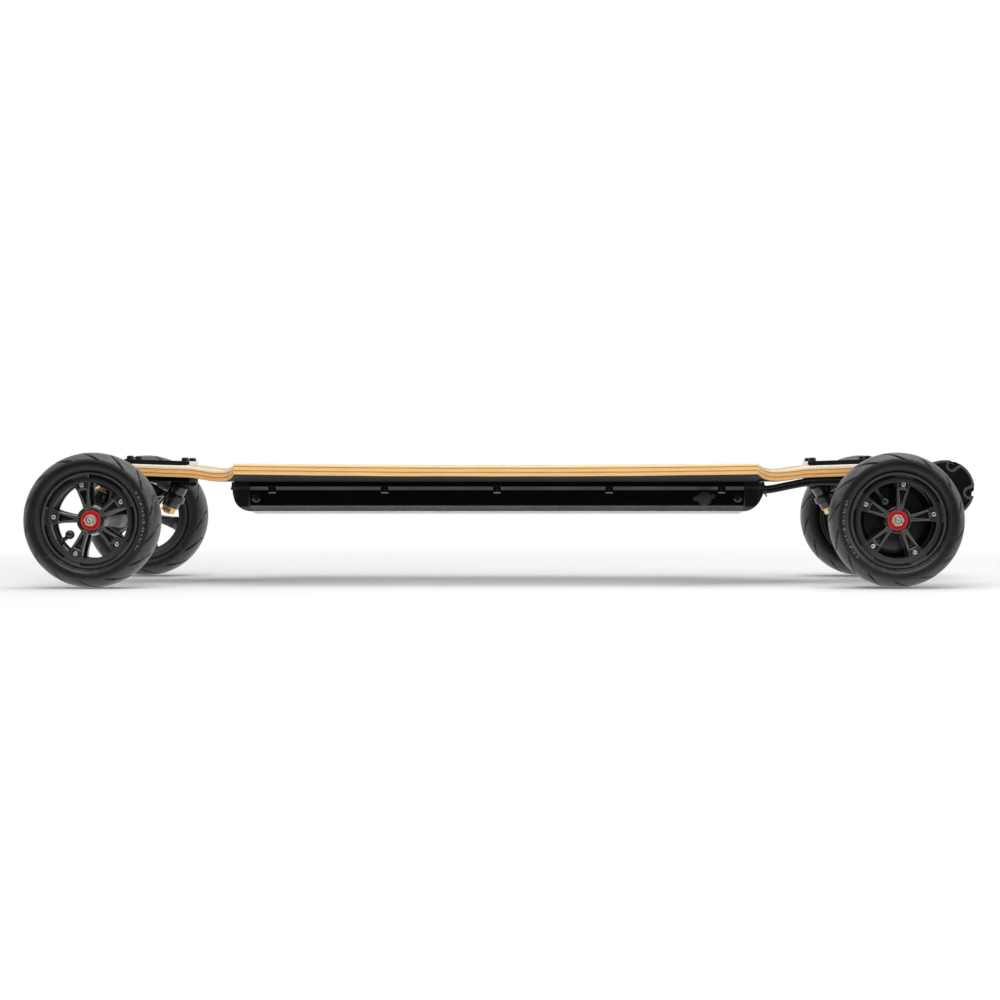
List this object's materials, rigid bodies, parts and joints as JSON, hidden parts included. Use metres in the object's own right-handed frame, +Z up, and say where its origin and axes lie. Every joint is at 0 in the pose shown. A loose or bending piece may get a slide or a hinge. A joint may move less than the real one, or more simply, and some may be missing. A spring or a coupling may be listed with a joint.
{
  "type": "electric mountainboard",
  "caption": "Electric mountainboard: ply deck on double-pivot trucks, air-filled wheels, underslung battery case and a belt drive on each rear wheel.",
  "frame": {"origin": "on the ground, under the middle of the whole board", "axes": "+X to the rear, where the motors are, +Y to the rider's right, +Z up"},
  "size_m": [1.2349, 0.37, 0.175],
  "materials": {
    "bamboo_ply": "clear-coated bamboo ply with dark glue lines",
    "grip": "clear grit sheet over ply",
    "case_black": "black, half gloss",
    "case_grey": "dark grey, fine texture",
    "clear_sheet": "pale glossy sheet",
    "pack_blue": "heat-shrink film",
    "bright_steel": "bright plated steel",
    "cable_sleeve": "black sleeve",
    "soft_rubber": "soft grey-black rubber",
    "forged_black": "black anodised",
    "gold_steel": "yellow zinc plate",
    "urethane": "black urethane",
    "tyre_rubber": "dull black tyre rubber",
    "cast_black": "black powder coat",
    "seal_red": "red bearing shield",
    "motor_black": "black motor can",
    "belt_rubber": "black toothed belt",
    "cover_black": "black moulded cover"
  },
  "bodies": {
    "board": {"deck": "bamboo_ply", "grip_sheet": "grip", "case_tray": "case_black", "case_front_cap": "case_grey", "case_rear_cap": "case_grey", "skid_plate": "clear_sheet", "battery_pack": "pack_blue", "charge_socket": "bright_steel", "motor_cable": "cable_sleeve", "front_top_plate": "forged_black", "front_base_plate": "forged_black", "front_inner_kingpin": "gold_steel", "front_inner_upper_bushing": "urethane", "front_inner_lower_bushing": "urethane", "rear_top_plate": "forged_black", "rear_base_plate": "forged_black", "rear_inner_kingpin": "gold_steel", "rear_inner_upper_bushing": "urethane", "rear_inner_lower_bushing": "urethane"},
    "charge_cap": {"charge_cap": "soft_rubber"},
    "front_carriage": {"front_carriage": "forged_black"},
    "front_hanger": {"front_hanger": "forged_black", "front_outer_kingpin": "gold_steel", "front_outer_upper_bushing": "urethane", "front_outer_lower_bushing": "urethane", "front_left_axle_nut": "bright_steel", "front_right_axle_nut": "bright_steel"},
    "front_left_wheel": {"front_left_tyre": "tyre_rubber", "front_left_rim_outer_half": "cast_black", "front_left_rim_inner_half": "cast_black", "front_left_bearing": "seal_red"},
    "front_right_wheel": {"front_right_tyre": "tyre_rubber", "front_right_rim_outer_half": "cast_black", "front_right_rim_inner_half": "cast_black", "front_right_bearing": "seal_red"},
    "rear_carriage": {"rear_carriage": "forged_black"},
    "rear_hanger": {"rear_hanger": "forged_black", "rear_outer_kingpin": "gold_steel", "rear_outer_upper_bushing": "urethane", "rear_outer_lower_bushing": "urethane", "rear_left_axle_nut": "bright_steel", "rear_left_motor": "motor_black", "rear_left_drive_belt": "belt_rubber", "rear_left_belt_cover": "cover_black", "rear_right_axle_nut": "bright_steel", "rear_right_motor": "motor_black", "rear_right_drive_belt": "belt_rubber", "rear_right_belt_cover": "cover_black"},
    "rear_left_wheel": {"rear_left_tyre": "tyre_rubber", "rear_left_rim_outer_half": "cast_black", "rear_left_rim_inner_half": "cast_black", "rear_left_bearing": "seal_red", "rear_left_wheel_pulley": "cast_black"},
    "rear_left_motor_pulley": {"rear_left_motor_pulley": "bright_steel"},
    "rear_right_wheel": {"rear_right_tyre": "tyre_rubber", "rear_right_rim_outer_half": "cast_black", "rear_right_rim_inner_half": "cast_black", "rear_right_bearing": "seal_red", "rear_right_wheel_pulley": "cast_black"},
    "rear_right_motor_pulley": {"rear_right_motor_pulley": "bright_steel"}
  },
  "joints": [
    {"name": "front_carriage_pivot", "type": "hinge", "parent": "board", "child": "front_carriage", "pos_m": [-0.45815, 0, 0.115], "axis": [-0.9063, 0, 0.4226], "range_deg": [-9, 9], "stiffness_Nm_per_rad": 60, "deforming": ["front_inner_upper_bushing", "front_inner_lower_bushing"]},
    {"name": "front_hanger_pivot", "type": "hinge", "parent": "front_carriage", "child": "front_hanger", "pos_m": [-0.56075, 0, 0.112], "axis": [-0.9063, 0, 0.4226], "range_deg": [-9, 9], "stiffness_Nm_per_rad": 60, "deforming": ["front_outer_upper_bushing", "front_outer_lower_bushing"]},
    {"name": "front_left_wheel_spin", "type": "hinge", "parent": "front_hanger", "child": "front_left_wheel", "pos_m": [-0.52975, -0.16, 0.0875], "axis": [0, 1, 0], "continuous": true},
    {"name": "front_right_wheel_spin", "type": "hinge", "parent": "front_hanger", "child": "front_right_wheel", "pos_m": [-0.52975, 0.16, 0.0875], "axis": [0, 1, 0], "continuous": true},
    {"name": "rear_carriage_pivot", "type": "hinge", "parent": "board", "child": "rear_carriage", "pos_m": [0.43865, 0, 0.115], "axis": [0.9063, 0, 0.4226], "range_deg": [-9, 9], "stiffness_Nm_per_rad": 60, "deforming": ["rear_inner_upper_bushing", "rear_inner_lower_bushing"]},
    {"name": "rear_hanger_pivot", "type": "hinge", "parent": "rear_carriage", "child": "rear_hanger", "pos_m": [0.54125, 0, 0.112], "axis": [0.9063, 0, 0.4226], "range_deg": [-9, 9], "stiffness_Nm_per_rad": 60, "deforming": ["rear_outer_upper_bushing", "rear_outer_lower_bushing"]},
    {"name": "rear_left_wheel_spin", "type": "hinge", "parent": "rear_hanger", "child": "rear_left_wheel", "pos_m": [0.51025, -0.16, 0.0875], "axis": [0, 1, 0], "continuous": true},
    {"name": "rear_left_motor_spin", "type": "hinge", "parent": "rear_hanger", "child": "rear_left_motor_pulley", "pos_m": [0.57925, -0.124, 0.1275], "axis": [0, 1, 0], "continuous": true},
    {"name": "rear_right_wheel_spin", "type": "hinge", "parent": "rear_hanger", "child": "rear_right_wheel", "pos_m": [0.51025, 0.16, 0.0875], "axis": [0, 1, 0], "continuous": true},
    {"name": "rear_right_motor_spin", "type": "hinge", "parent": "rear_hanger", "child": "rear_right_motor_pulley", "pos_m": [0.57925, 0.124, 0.1275], "axis": [0, 1, 0], "continuous": true},
    {"name": "charge_cap_hinge", "type": "hinge", "parent": "board", "child": "charge_cap", "pos_m": [0.25325, -0.0887, 0.115], "axis": [0, 0, -1], "range_deg": [0, 120]}
  ],
  "couplings": [
    {"joint": "front_hanger_pivot", "follows": "front_carriage_pivot", "ratio": 1},
    {"joint": "rear_hanger_pivot", "follows": "rear_carriage_pivot", "ratio": 1},
    {"joint": "rear_left_motor_spin", "follows": "rear_left_wheel_spin", "ratio": 4.4},
    {"joint": "rear_right_motor_spin", "follows": "rear_right_wheel_spin", "ratio": 4.4}
  ]
}
